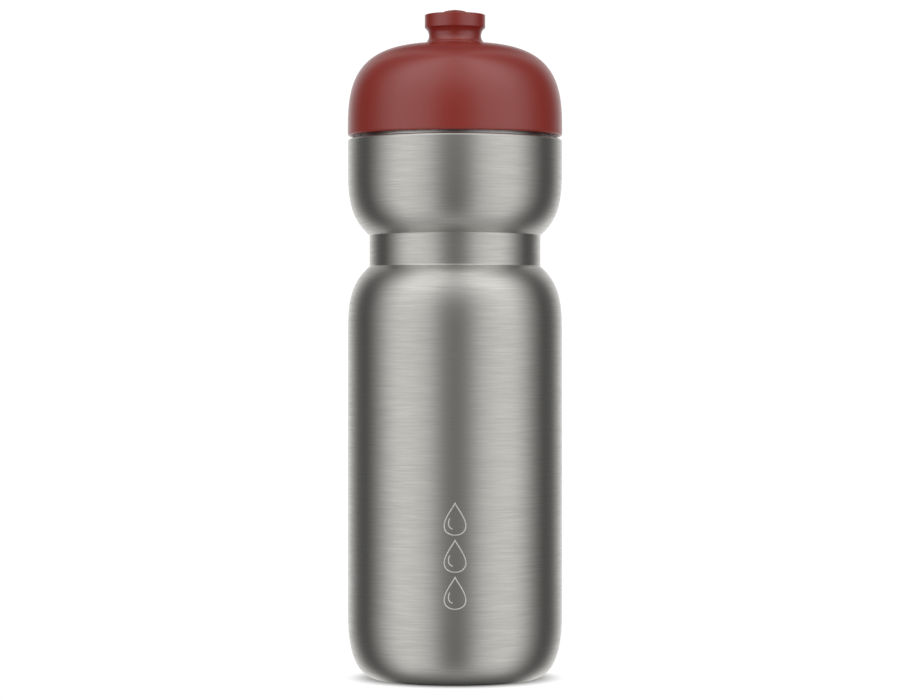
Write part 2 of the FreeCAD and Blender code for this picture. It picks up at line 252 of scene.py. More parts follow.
def mixColour(tree, factor, dark, light):
    mix = newNode(tree, "ShaderNodeMix", data_type="RGBA")
    join(tree, factor, mix.inputs["Factor"])
    for socket, value in ((mix.inputs[6], dark), (mix.inputs[7], light)):
        if isinstance(value, tuple):
            socket.default_value = value + (1.0,)
        else:
            join(tree, value, socket)
    return mix.outputs[2]


def spread(tree, factor, low, high):
    node = newNode(tree, "ShaderNodeMapRange", {"To Min": low, "To Max": high})
    join(tree, factor, node.inputs["Value"])
    return node.outputs[0]


def addBump(tree, shader, height, distance, strength=1.0):
    bump = newNode(tree, "ShaderNodeBump", {"Distance": distance, "Strength": strength})
    join(tree, height, bump.inputs["Height"])
    join(tree, bump.outputs[0], shader.inputs["Normal"])


def paintByTone(tree, shader, tone, look):
    # colour and roughness that both follow one mask
    join(tree, mixColour(tree, tone, look["dark"], look["light"]), shader.inputs["Base Color"])
    join(tree, spread(tree, tone, look["roughLow"], look["roughHigh"]), shader.inputs["Roughness"])


def makeSteel(name, look):
    material, tree, shader, place = startMaterial(name)
    lines = useGroup(tree, brushLines, place, {
        "Line Length": look["lineLength"], "Line Width": look["lineWidth"], "Seed": look["seed"],
    })
    wear = useGroup(tree, edgeWearAndHighlight, place, {"Sharpness": look["wearSharpness"]})
    toned = mixColour(tree, lines.outputs["Tone"], look["dark"], look["light"])
    worn = mixColour(tree, wear.outputs["Mask"], toned, look["worn"])
    # concave corners get a painted highlight: a near-white base colour
    paintedHighlight = mixColour(tree, wear.outputs["HollowHighlight"], worn, look["paintedHighlight"])
    join(tree, paintedHighlight, shader.inputs["Base Color"])
    rough = spread(tree, lines.outputs["Tone"], look["roughHigh"], look["roughLow"])
    duller = mathNode(tree, "MULTIPLY", lines.outputs["Scratches"], look["scratchRough"])
    smoother = mathNode(tree, "MULTIPLY", wear.outputs["HollowHighlight"], look["hollowSmooth"])
    scratched = mathNode(tree, "ADD", rough, duller)
    join(tree, mathNode(tree, "SUBTRACT", scratched, smoother), shader.inputs["Roughness"])
    addBump(tree, shader, lines.outputs["Height"], look["bump"])
    tangent = newNode(tree, "ShaderNodeTangent", direction_type="RADIAL", axis="Z")
    join(tree, tangent.outputs[0], shader.inputs["Tangent"])
    shader.inputs["Metallic"].default_value = 1.0
    shader.inputs["Anisotropic"].default_value = look["anisotropic"]
    shader.inputs["Anisotropic Rotation"].default_value = 0.25
    return material


def makePlastic(name, look):
    material, tree, shader, place = startMaterial(name)
    grain = useGroup(tree, mouldGrain, place, {"Grain Size": look["grain"], "Patch Size": look["patch"]})
    wear = useGroup(tree, edgeWearAndHighlight, place, {"Sharpness": look["wearSharpness"]})
    toned = mixColour(tree, spread(tree, grain.outputs["Patches"], -0.5, 1.5), look["dark"], look["light"])
    rubbed = mathNode(tree, "MULTIPLY", wear.outputs["Mask"], look["wear"])
    join(tree, mixColour(tree, rubbed, toned, look["worn"]), shader.inputs["Base Color"])
    rough = spread(tree, grain.outputs["Tone"], look["roughLow"], look["roughHigh"])
    join(tree, rough, shader.inputs["Roughness"])
    addBump(tree, shader, grain.outputs["Height"], look["bump"])
    shader.inputs["IOR"].default_value = look["ior"]
    return material


def makeFoil(name, look):
    # thin foil, wrinkled where it was wrapped
    material, tree, shader, place = startMaterial(name)
    creases = newNode(tree, "ShaderNodeTexVoronoi", {"Scale": 1 / look["crease"]}, feature="DISTANCE_TO_EDGE")
    join(tree, place, creases.inputs["Vector"])
    ripple = newNode(tree, "ShaderNodeTexNoise", {
        "Scale": 1 / look["ripple"], "Detail": 4.0, "Distortion": 0.6,
    })
    join(tree, place, ripple.inputs["Vector"])
    paintByTone(tree, shader, ripple.outputs["Fac"], look)
    height = mathNode(tree, "ADD", mathNode(tree, "MULTIPLY", creases.outputs["Distance"], 0.7),
                      mathNode(tree, "MULTIPLY", ripple.outputs["Fac"], 0.3))
    addBump(tree, shader, height, look["bump"])
    shader.inputs["Metallic"].default_value = 1.0
    return material


def makeFused(name, look):
    # melted or pressed grains: a speckled body with small bubbles or pores
    material, tree, shader, place = startMaterial(name)
    speckle = newNode(tree, "ShaderNodeTexNoise", {"Scale": 1 / look["speckle"], "Detail": 3.0})
    join(tree, place, speckle.inputs["Vector"])
    pores = newNode(tree, "ShaderNodeTexVoronoi", {"Scale": 1 / look["pore"]}, feature="F1")
    join(tree, place, pores.inputs["Vector"])
    paintByTone(tree, shader, speckle.outputs["Fac"], look)
    addBump(tree, shader, pores.outputs["Distance"], look["bump"])
    shader.inputs["Metallic"].default_value = look["metal"]
    shader.inputs["IOR"].default_value = look["ior"]
    return material


bodySteelLook = {
    "dark": (0.55, 0.54, 0.512), "light": (0.665, 0.655, 0.622),
    # the near-white colour for concave corners is a painted highlight
    "worn": (0.76, 0.75, 0.73), "paintedHighlight": (0.95, 0.94, 0.92), "wearSharpness": 0.60,
    "lineLength": 0.011, "lineWidth": 0.00034, "seed": 0.0, "bump": 0.000004,
    "roughLow": 0.27, "roughHigh": 0.35, "anisotropic": 0.6, "scratchRough": 0.03, "hollowSmooth": 0.12,
}
markSteelLook = dict(
    bodySteelLook, dark=(0.80, 0.79, 0.76), light=(0.92, 0.91, 0.89),
    roughLow=0.38, roughHigh=0.46, anisotropic=0.0,
)
neckSteelLook = dict(
    bodySteelLook, dark=(0.52, 0.51, 0.49), light=(0.70, 0.69, 0.67), worn=(0.78, 0.77, 0.75),
    lineLength=0.030, lineWidth=0.00020, seed=9.0, bump=0.000003,
    roughLow=0.20, roughHigh=0.30, anisotropic=0.4,
)
linerSteelLook = dict(
    bodySteelLook, dark=(0.50, 0.49, 0.48), light=(0.64, 0.63, 0.62), worn=(0.70, 0.69, 0.68),
    lineLength=0.010, lineWidth=0.00060, seed=23.0, bump=0.000006,
    roughLow=0.30, roughHigh=0.42, anisotropic=0.3, wearSharpness=0.62,
)
lidPlasticLook = {
    "dark": (0.340, 0.0275, 0.0175), "light": (0.370, 0.0320, 0.0210), "worn": (0.50, 0.090, 0.070),
    "grain": 0.00022, "patch": 0.016, "wear": 0.25, "wearSharpness": 0.60,
    "roughLow": 0.22, "roughHigh": 0.28, "bump": 0.0000035, "ior": 1.77,
}

bodySteel = makeSteel("bodySteel", bodySteelLook)
markSteel = makeSteel("markSteel", markSteelLook)
neckSteel = makeSteel("neckSteel", neckSteelLook)
linerSteel = makeSteel("linerSteel", linerSteelLook)
lidPlastic = makePlastic("lidPlastic", lidPlasticLook)
mouthPlastic = makePlastic("mouthPlastic", dict(lidPlasticLook, grain=0.00016, roughLow=0.24, roughHigh=0.30))
stemPlastic = makePlastic("stemPlastic", dict(lidPlasticLook, grain=0.00012, roughLow=0.22, roughHigh=0.28))
insertPlastic = makePlastic("insertPlastic", dict(
    lidPlasticLook, grain=0.0003, roughLow=0.28, roughHigh=0.36,
))
silicone = makePlastic("silicone", {
    "dark": (0.62, 0.61, 0.57), "light": (0.70, 0.69, 0.66), "worn": (0.74, 0.73, 0.70),
    "grain": 0.00030, "patch": 0.006, "wear": 0.2, "wearSharpness": 0.60,
    "roughLow": 0.46, "roughHigh": 0.58, "bump": 0.000008, "ior": 1.41,
})
shieldFoil = makeFoil("shieldFoil", {
    "dark": (0.82, 0.82, 0.83), "light": (0.90, 0.90, 0.91), "crease": 0.006, "ripple": 0.0025,
    "roughLow": 0.12, "roughHigh": 0.24, "bump": 0.00012,
})
solderGlass = makeFused("solderGlass", {
    "dark": (0.055, 0.060, 0.050), "light": (0.105, 0.115, 0.095), "speckle": 0.0006, "pore": 0.0012,
    "roughLow": 0.08, "roughHigh": 0.20, "bump": 0.00002, "metal": 0.0, "ior": 1.75,
})
getterPowder = makeFused("getterPowder", {
    "dark": (0.16, 0.155, 0.15), "light": (0.28, 0.275, 0.27), "speckle": 0.0003, "pore": 0.0004,
    "roughLow": 0.55, "roughHigh": 0.75, "bump": 0.00004, "metal": 0.7, "ior": 1.5,
})
print("materials made")


def bezierRun(poles, count):
    # points of a cubic curve on four (r, z) poles
    run = []
    for i in range(count + 1):
        t = i / count
        weights = ((1 - t) ** 3, 3 * t * (1 - t) ** 2, 3 * t * t * (1 - t), t ** 3)
        run.append(tuple(sum(w * pole[k] for w, pole in zip(weights, poles)) for k in range(2)))
    return run


def arcRun(centre, radius, fromDeg, toDeg, count):
    run = []
    for i in range(count + 1):
        angle = math.radians(fromDeg + (toDeg - fromDeg) * i / count)
        run.append((centre[0] + radius * math.cos(angle), centre[1] + radius * math.sin(angle)))
    return run


def softened(points, closed, steps=4):
    # gives each (r, z, round) point a round corner of that radius, tangent to both sides
    soft = []
    count = len(points)
    for i, point in enumerate(points):
        ends = not closed and i in (0, count - 1)
        if len(point) == 2 or ends:
            soft.append(point[:2])
            continue
        here = Vector(point[:2])
        back = Vector(points[i - 1][:2]) - here
        ahead = Vector(points[(i + 1) % count][:2]) - here
        turn = math.pi - back.angle(ahead)
        reach = min(point[2] * math.tan(turn / 2), 0.45 * back.length, 0.45 * ahead.length)
        start, end = here + back.normalized() * reach, here + ahead.normalized() * reach
        for k in range(steps + 1):
            t = k / steps
            mixed = start * (1 - t) ** 2 + here * 2 * t * (1 - t) + end * t * t
            soft.append((mixed.x, mixed.y))
    return soft


def makeLatheTree():
    # Geometry Nodes: turns the incoming profile curve round the Z axis
    tree = bpy.data.node_groups.new("turnProfile", "GeometryNodeTree")
    face = tree.interface
    face.new_socket("Geometry", in_out="INPUT", socket_type="NodeSocketGeometry")
    face.new_socket("Segments", in_out="INPUT", socket_type="NodeSocketInt").default_value = 192
    face.new_socket("Guide Radius", in_out="INPUT", socket_type="NodeSocketFloat").default_value = 0.01
    face.new_socket("Weld Distance", in_out="INPUT", socket_type="NodeSocketFloat").default_value = 1e-6
    face.new_socket("Material", in_out="INPUT", socket_type="NodeSocketMaterial")
    face.new_socket("Geometry", in_out="OUTPUT", socket_type="NodeSocketGeometry")
    source, result = newNode(tree, "NodeGroupInput"), newNode(tree, "NodeGroupOutput")
    circle = newNode(tree, "GeometryNodeCurvePrimitiveCircle", mode="RADIUS")
    join(tree, source.outputs["Segments"], circle.inputs["Resolution"])
    join(tree, source.outputs["Guide Radius"], circle.inputs["Radius"])
    shift = newNode(tree, "ShaderNodeCombineXYZ")
    join(tree, source.outputs["Guide Radius"], shift.inputs["X"])
    move = newNode(tree, "GeometryNodeSetPosition")
    negative = newNode(tree, "ShaderNodeVectorMath", {1: (-1.0, -1.0, -1.0)}, operation="MULTIPLY")
    join(tree, shift.outputs[0], negative.inputs[0])
    join(tree, source.outputs["Geometry"], move.inputs["Geometry"])
    join(tree, negative.outputs[0], move.inputs["Offset"])
    sweep = newNode(tree, "GeometryNodeCurveToMesh")
    join(tree, circle.outputs["Curve"], sweep.inputs["Curve"])
    join(tree, move.outputs[0], sweep.inputs["Profile Curve"])
    weld = newNode(tree, "GeometryNodeMergeByDistance")
    join(tree, sweep.outputs[0], weld.inputs["Geometry"])
    join(tree, source.outputs["Weld Distance"], weld.inputs["Distance"])
    smooth = newNode(tree, "GeometryNodeSetShadeSmooth")
    join(tree, weld.outputs[0], smooth.inputs["Geometry"])
    realize = newNode(tree, "GeometryNodeRealizeInstances")
    join(tree, smooth.outputs[0], realize.inputs["Geometry"])
    paint = newNode(tree, "GeometryNodeSetMaterial")
    join(tree, realize.outputs[0], paint.inputs["Geometry"])
    join(tree, source.outputs["Material"], paint.inputs["Material"])
    join(tree, paint.outputs[0], result.inputs["Geometry"])
    return tree


latheTree = makeLatheTree()


def runTree(name, start, tree, values):
    # runs a Geometry Nodes tree on an object and keeps the result as a plain mesh
    bpy.context.scene.collection.objects.link(start)
    modifier = start.modifiers.new(tree.name, "NODES")
    modifier.node_group = tree
    for item in tree.interface.items_tree:
        if item.item_type == "SOCKET" and item.in_out == "INPUT" and item.name in values:
            modifier[item.identifier] = values[item.name]
    bpy.context.view_layer.update()
    shape = start.evaluated_get(bpy.context.evaluated_depsgraph_get())
    mesh = bpy.data.meshes.new_from_object(shape)
    mesh.name = name
    bpy.data.objects.remove(start)
    piece = bpy.data.objects.new(name, mesh)
    bpy.context.scene.collection.objects.link(piece)
    return piece


def profileCurve(name, points, closed):
    curve = bpy.data.curves.new(name + "Profile", "CURVE")
    curve.dimensions = "3D"
    spline = curve.splines.new("POLY")
    spline.points.add(len(points) - 1)
    for target, (r, z) in zip(spline.points, points):
        target.co = (r, -z, 0.0, 1.0)  # Curve to Mesh lays a profile's Y downwards
    spline.use_cyclic_u = closed
    return bpy.data.objects.new(name + "Profile", curve)


def meshVolume(mesh):
    mesh.calc_loop_triangles()
    corners = [v.co for v in mesh.vertices]
    return sum(corners[a].dot(corners[b].cross(corners[c])) for a, b, c in
               (t.vertices for t in mesh.loop_triangles)) / 6


def turned(name, points, material, closed=True, segments=192):
    path = softened(points, closed)
    piece = runTree(name, profileCurve(name, path, closed), latheTree, {
        "Segments": segments, "Guide Radius": 0.01, "Weld Distance": 1e-6, "Material": material,
    })
    if meshVolume(piece.data) < 0:
        piece.data.flip_normals()
    millilitres = round(meshVolume(piece.data) * 1e6, 2)
    print(name, "turned:", len(piece.data.polygons), "faces, volume", millilitres, "ml")
    return piece


def offsetPoles(poles, distance):
    # the poles of a curve beside this one, to the left of its direction
    legs = [(Vector(b) - Vector(a)).normalized() for a, b in zip(poles, poles[1:])]
    normals = [Vector((-leg.y, leg.x)) for leg in legs]
    moved = []
    for i, pole in enumerate(poles):
        before, after = normals[max(i - 1, 0)], normals[min(i, len(normals) - 1)]
        moved.append(tuple(Vector(pole) + (before + after) * (distance / (1 + before.dot(after)))))
    return moved


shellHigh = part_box("outer_shell")[1]
groove = mounts["cage_tab_groove"]["pos_m"]

flask = {
    "radius": mounts["cage_body"]["dims"]["r_mm"] * mm,
    "topZ": shellHigh.z,
    "waistRadius": groove[1],
    "waistMiddle": groove[2],
    "waistWidth": 10.75 * mm,
    "bulge": ((35.95 * mm, 5.5 * mm), (1.0, 12.0 * mm), (1.0, 22.2 * mm)),
    "footRing": (24.8 * mm, 26.2 * mm),
    "footCurve": ((34.3 * mm, 0.0), (1.0, 9.6 * mm), (1.0, 21.9 * mm)),
    "wall": 0.5 * mm,
    "topFillet": 0.97 * mm,
    "waistCornerRounds": (0.55 * mm, 0.25 * mm),
    "neckRadius": 31.52 * mm,
    "hemBend": 0.9 * mm,
    "hemTop": 3.4 * mm,
    "segments": 320,
}


def flaskProfile(size):
    radius, wall = size["radius"], size["wall"]
    low = size["waistMiddle"] - size["waistWidth"] / 2
    high = size["waistMiddle"] + size["waistWidth"] / 2
    waist = size["waistRadius"]

    def bulge(cornerZ, side):
        (r1, z1), (_, z2), (_, z3) = size["bulge"]
        return [(waist, cornerZ), (r1, cornerZ + side * z1), (radius, cornerZ + side * z2),
                (radius, cornerZ + side * z3)]

    footIn, footOut = size["footRing"]
    foot = [(footOut, 0.0), size["footCurve"][0], (radius, size["footCurve"][1][1]),
            (radius, size["footCurve"][2][1])]
    lower, upper = bulge(low, -1)[::-1], bulge(high, 1)
    lowRound, highRound = size["waistCornerRounds"]
    fillet = size["topFillet"]
    points = [(footIn, 0.0)] + bezierRun(foot, 40)
    points += [(radius, foot[3][1] + (lower[0][1] - foot[3][1]) * k / 24) for k in range(1, 24)]
    points += bezierRun(lower, 30)[:-1] + [lower[3] + (lowRound,)]
    points += [(waist, low + (high - low) * k / 6) for k in range(1, 6)]
    points += [upper[0] + (highRound,)] + bezierRun(upper, 30)[1:]
    points += arcRun((radius - fillet, size["topZ"] - fillet), fillet, 0, 90, 8)
    neck = size["neckRadius"]
    points += [(neck, size["topZ"]), (neck, size["topZ"] - wall)]
    points += arcRun((radius - fillet, size["topZ"] - fillet), fillet - wall, 90, 0, 4)
    innerUpper = offsetPoles([lower[3]] + upper, wall)[1:]
    innerLower = offsetPoles(lower + [upper[0]], wall)[:-1]
    points += bezierRun(innerUpper, 10)[::-1] + bezierRun(innerLower, 10)[::-1]
    points += bezierRun(offsetPoles(foot, wall), 12)[::-1]
    bend = size["hemBend"]
    points += arcRun((footIn, bend), bend - wall, 270, 180, 4)
    points += [(footIn - bend + wall, size["hemTop"]), (footIn - bend, size["hemTop"])]
    points += arcRun((footIn, bend), bend, 180, 270, 6)[:-1]
    return points


flaskWall = turned("flaskWall", flaskProfile(flask), bodySteel, segments=flask["segments"])
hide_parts("outer_shell")
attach(flaskWall, "flask")


motif = {
    "drops": 3,
    "pitch": 12.4 * mm,
    "lowestZ": 32.0 * mm,
    "dropHeight": 10.8 * mm,
    "dropWidth": 9.6 * mm,
    "lineWidth": 0.42 * mm,
    "sunk": 0.09 * mm,
    "pointsRound": 72,
    # the glint inside each drop is a short arc beside its outline, in parts of a turn from the point
    "glintInset": 1.9 * mm,
    "glint": (0.54, 0.76),
}


def dropPoint(size, turn, inset):
    # a point of a water drop with its tip upwards; turn runs 0 to 1 from the tip
    angle = 2 * math.pi * turn
    x = (size["dropWidth"] / 2 - inset) * math.sin(angle) * math.sin(angle / 2) ** 1.5 * 1.08
    return x, (size["dropHeight"] / 2 - inset) * math.cos(angle)


def motifCurve(size):
    curve = bpy.data.curves.new("dropOutlines", "CURVE")
    curve.dimensions = "3D"
    count = size["pointsRound"]
    outline = [dropPoint(size, i / count, 0.0) for i in range(count)]
    start, end = size["glint"]
    glint = [dropPoint(size, start + (end - start) * i / 12, size["glintInset"]) for i in range(13)]
    for points, closed in ((outline, True), (glint, False)):
        spline = curve.splines.new("POLY")
        spline.points.add(len(points) - 1)
        for target, (x, y) in zip(spline.points, points):
            target.co = (x, y, 0.0, 1.0)
        spline.use_cyclic_u = closed
    return bpy.data.objects.new("dropOutlines", curve)


def makeMotifTree():
    # Geometry Nodes: repeats flat outlines up the bottle, bends them round the wall and gives them body
    tree = bpy.data.node_groups.new("raisedLines", "GeometryNodeTree")
    face = tree.interface
    face.new_socket("Geometry", in_out="INPUT", socket_type="NodeSocketGeometry")
    face.new_socket("Count", in_out="INPUT", socket_type="NodeSocketInt").default_value = 4
    face.new_socket("Pitch", in_out="INPUT", socket_type="NodeSocketFloat").default_value = 0.009
    face.new_socket("Lowest", in_out="INPUT", socket_type="NodeSocketFloat").default_value = 0.03
    face.new_socket("Wall Radius", in_out="INPUT", socket_type="NodeSocketFloat").default_value = 0.037
    face.new_socket("Line Radius", in_out="INPUT", socket_type="NodeSocketFloat").default_value = 0.0002
    face.new_socket("Material", in_out="INPUT", socket_type="NodeSocketMaterial")
    face.new_socket("Geometry", in_out="OUTPUT", socket_type="NodeSocketGeometry")
    source, result = newNode(tree, "NodeGroupInput"), newNode(tree, "NodeGroupOutput")
    step = newNode(tree, "ShaderNodeCombineXYZ")
    join(tree, source.outputs["Pitch"], step.inputs["Y"])
    first = newNode(tree, "ShaderNodeCombineXYZ")
    join(tree, source.outputs["Lowest"], first.inputs["Y"])
    row = newNode(tree, "GeometryNodeMeshLine", mode="OFFSET")
    join(tree, source.outputs["Count"], row.inputs["Count"])
    join(tree, first.outputs[0], row.inputs["Start Location"])
    join(tree, step.outputs[0], row.inputs["Offset"])
    copies = newNode(tree, "GeometryNodeInstanceOnPoints")
    join(tree, row.outputs[0], copies.inputs["Points"])
    join(tree, source.outputs["Geometry"], copies.inputs["Instance"])
    realize = newNode(tree, "GeometryNodeRealizeInstances")
    join(tree, copies.outputs[0], realize.inputs["Geometry"])
    flat = newNode(tree, "GeometryNodeInputPosition")
    split = newNode(tree, "ShaderNodeSeparateXYZ")
    join(tree, flat.outputs[0], split.inputs[0])
    angle = mathNode(tree, "DIVIDE", split.outputs["X"], source.outputs["Wall Radius"])
    wrapped = newNode(tree, "ShaderNodeCombineXYZ")
    join(tree, mathNode(tree, "MULTIPLY", mathNode(tree, "SINE", angle), source.outputs["Wall Radius"]),
         wrapped.inputs["X"])
    ahead = mathNode(tree, "MULTIPLY", mathNode(tree, "COSINE", angle), source.outputs["Wall Radius"])
    join(tree, mathNode(tree, "MULTIPLY", ahead, -1.0), wrapped.inputs["Y"])
    join(tree, split.outputs["Y"], wrapped.inputs["Z"])
    bend = newNode(tree, "GeometryNodeSetPosition")
    join(tree, realize.outputs[0], bend.inputs["Geometry"])
    join(tree, wrapped.outputs[0], bend.inputs["Position"])
    section = newNode(tree, "GeometryNodeCurvePrimitiveCircle", {"Resolution": 12}, mode="RADIUS")
    join(tree, source.outputs["Line Radius"], section.inputs["Radius"])
    body = newNode(tree, "GeometryNodeCurveToMesh")
    join(tree, bend.outputs[0], body.inputs["Curve"])
    join(tree, section.outputs["Curve"], body.inputs["Profile Curve"])
    body.inputs["Fill Caps"].default_value = True
    smooth = newNode(tree, "GeometryNodeSetShadeSmooth")
    join(tree, body.outputs[0], smooth.inputs["Geometry"])
    whole = newNode(tree, "GeometryNodeRealizeInstances")
    join(tree, smooth.outputs[0], whole.inputs["Geometry"])
    paint = newNode(tree, "GeometryNodeSetMaterial")
    join(tree, whole.outputs[0], paint.inputs["Geometry"])
    join(tree, source.outputs["Material"], paint.inputs["Material"])
    join(tree, paint.outputs[0], result.inputs["Geometry"])
    return tree


pressedDrops = runTree("pressedDrops", motifCurve(motif), makeMotifTree(), {
    "Count": motif["drops"], "Pitch": motif["pitch"], "Lowest": motif["lowestZ"],
    "Wall Radius": flask["radius"] - motif["sunk"], "Line Radius": motif["lineWidth"] / 2,
    "Material": markSteel,
})
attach(pressedDrops, "flask")
print("raised drops:", len(pressedDrops.data.polygons), "faces")


domeLow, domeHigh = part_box("lid_dome")

lidCap = {
    "radius": domeHigh.x,
    "wall": 1.8 * mm,
    "bottomZ": domeLow.z,
    "edgeFillet": 0.97 * mm,
    "straightTop": 189.2 * mm,
    "shoulder": ((37.09 * mm, 201.95 * mm), (36.9 * mm, 218.8 * mm), (10.3 * mm, 219.13 * mm)),
    "spoutHole": 7.8 * mm,
    "bossRadius": 9.7 * mm,
    "bossBottom": 204.45 * mm,
    # small rounds: the inner edge below, the hole's rim, the boss's end, and the boss's root
    "innerRound": 0.2 * mm,
    "holeRound": 0.3 * mm,
    "bossRound": 0.15 * mm,
    "rootRound": 0.6 * mm,
    "segments": 288,
}


def lidCapProfile(size):
    outer = [(size["radius"], size["straightTop"])] + list(size["shoulder"])
    inner = offsetPoles(outer, size["wall"])
    fillet = size["edgeFillet"]
    innerRadius = size["radius"] - size["wall"]
    hole, boss = size["spoutHole"], size["bossRadius"]
    topZ = outer[3][1]
    bossRound, rootRound = size["bossRound"], size["rootRound"]
    points = [(innerRadius, size["bottomZ"], size["innerRound"])]
    points += arcRun((size["radius"] - fillet, size["bottomZ"] + fillet), fillet, -90, 0, 8)
    points += bezierRun(outer, 72)
    # in over the top, down the spout's hole, and back up the boss
    points += [(hole + 1.2 * mm, topZ), (hole, topZ + 0.02 * mm, size["holeRound"]), (hole, topZ - 1.5 * mm)]
    points += [(hole, size["bossBottom"], bossRound), (boss, size["bossBottom"], bossRound)]
    points += [(boss + 0.5 * mm, inner[3][1] - 2.0 * mm), (boss + rootRound, inner[3][1], rootRound)]
    points += bezierRun(inner, 32)[::-1][1:]
    return points


cap = turned("lidCap", lidCapProfile(lidCap), lidPlastic, segments=lidCap["segments"])
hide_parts("lid_dome")
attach(cap, "lid")


mouthLow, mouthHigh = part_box("nozzle_shell")
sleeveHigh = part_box("nozzle_sleeve")[1]

mouthpiece = {
    "bore": sleeveHigh.x + 0.02 * mm,
    "plateZ": sleeveHigh.z + 0.02 * mm,
    "bottomZ": mouthLow.z,
    "footRadius": 10.35 * mm,
    "waistRadius": 9.03 * mm,
    "waistZ": 222.05 * mm,
    "flangeRadius": mouthHigh.x,
    "flangeLow": 224.88 * mm,
    "topZ": 229.4 * mm,
    "edgeRound": 0.3 * mm,
    "mouthRadius": 4.15 * mm,
    "mouthRound": 0.4 * mm,
    # the top rises to this crown round the mouth, on a curve through these two places
    "crown": 0.15 * mm,
    "crownCurve": ((8.0 * mm, 0.1 * mm), (6.5 * mm, 0.15 * mm)),
    "footRound": 0.12 * mm,
    "segments": 160,
}


def throughThree(a, b, c, count):
    # an arc through three (r, z) points
    ax, ay, bx, by, cx, cy = *a, *b, *c
    aa, bb, cc = ax * ax + ay * ay, bx * bx + by * by, cx * cx + cy * cy
    d = 2 * (ax * (by - cy) + bx * (cy - ay) + cx * (ay - by))
    ux = (aa * (by - cy) + bb * (cy - ay) + cc * (ay - by)) / d
    uy = (aa * (cx - bx) + bb * (ax - cx) + cc * (bx - ax)) / d
    start = math.atan2(ay - uy, ax - ux)
    end = math.atan2(cy - uy, cx - ux)
    middle = math.atan2(by - uy, bx - ux)
    while middle > start:
        middle -= 2 * math.pi
    while end > middle:
        end -= 2 * math.pi
    radius = math.hypot(ax - ux, ay - uy)
    angles = [start + (end - start) * i / count for i in range(count + 1)]
    return [(ux + radius * math.cos(t), uy + radius * math.sin(t)) for t in angles]


def mouthpieceProfile(size):
    flange, top, edge = size["flangeRadius"], size["topZ"], size["edgeRound"]
    foot, bottom, footRound = size["footRadius"], size["bottomZ"], size["footRound"]
    mouth, crownZ = size["mouthRadius"], top + size["crown"]
    points = [(size["bore"], bottom, 0.1 * mm), (foot, bottom, footRound)]
    points += throughThree((foot - 0.05 * mm, bottom + 0.2 * mm), (size["waistRadius"], size["waistZ"]),
                           (flange - 0.1 * mm, size["flangeLow"] - footRound), 24)
    points += [(flange, size["flangeLow"], footRound), (flange, size["flangeLow"] + 1.2 * mm)]
    points += arcRun((flange - edge, top - edge), edge, 0, 90, 8)
    crown = [(r, top + rise) for r, rise in size["crownCurve"]]
    points += bezierRun([(flange - edge, top), *crown, (mouth + 0.5 * mm, crownZ)], 12)[1:]
    points += [(mouth, crownZ, size["mouthRound"]), (mouth, top - 0.7 * mm)]
    points += [(mouth, size["plateZ"]), (size["bore"], size["plateZ"]), (size["bore"], 221.0 * mm)]
    return points


mouth = turned("mouthpiece", mouthpieceProfile(mouthpiece), mouthPlastic, segments=mouthpiece["segments"])
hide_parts("nozzle_shell")
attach(mouth, "nozzle")


nodeMaterials = {
    "outer_base": bodySteel, "base_cover": bodySteel, "neck_ring": neckSteel, "getter_clip": linerSteel,
    "liner_base": linerSteel, "liner_tube": linerSteel, "heat_shield_foil": shieldFoil,
    "vacuum_plug": solderGlass, "getter_pellet": getterPowder,
    "lid_gasket": silicone, "vent_valve": silicone, "stem_seal": silicone, "nozzle_o_ring": silicone,
    "lid_insert": insertPlastic, "spout_stem": stemPlastic, "nozzle_sleeve": stemPlastic,
}
for name, material in nodeMaterials.items():
    for materialSlot in nodes[name].material_slots:
        materialSlot.material = material
print("finishes given to", len(nodeMaterials), "CAD nodes")


studio = {
    "floorSize": 8.0,
    "cameraHeight": 0.1134,
    "cameraDistance": 1.1,
    "lens": 125.7,
    "sensor": 36.0,
    # how bright the cove is, by the angle from the camera's side round to the back, in degrees
    "cove": ((0, 0.145), (14, 0.28), (27, 0.62), (41, 0.80), (58, 0.87), (70, 0.81), (87, 0.44),
             (104, 0.13), (119, 0.10), (132, 0.22), (151, 0.68), (166, 0.95), (180, 1.0)),
    # what the ceiling adds, and how much of the cove it takes away, above the horizon
    "ceilingLevel": 0.60,
    "ceilingShade": 0.26,
    "ceilingStart": 0.15,
    "ceilingFull": 0.80,
    "ceilingFront": -0.45,
    "ceilingBack": 0.65,
    # right behind, the lit backdrop ends a little above the horizon (the sides as parts of a half turn)
    "backdropSides": (0.81, 0.94),
    "backdropEdge": (0.12, 0.62),
    "backdropShade": 0.85,
    # what lies below the cove, by the height of the direction
    "lowLevel": 0.42,
    "lowStart": -0.60,
    "lowFull": -0.97,
    "seenWhite": 1.05,
    # the floor paper: white to the eye but for the real shadow under the foot's curve; reflections
    # see only a dark paper ring in front of the foot, a painted shadow
    "paperWhite": 1.02,
    "shadowInner": 0.027,
    "shadowOuter": 0.039,
    "shadowPaint": 0.50,
    "shadowGlow": 0.18,
    # the grey of the dark paper ring that reflections see: painted shadow
    "paintedShadowGrey": 0.10,
    # the painted shadow covers only the ring's front, fading out between these two places on Y
    "reflectedBack": -0.010,
    "reflectedFront": -0.024,
}


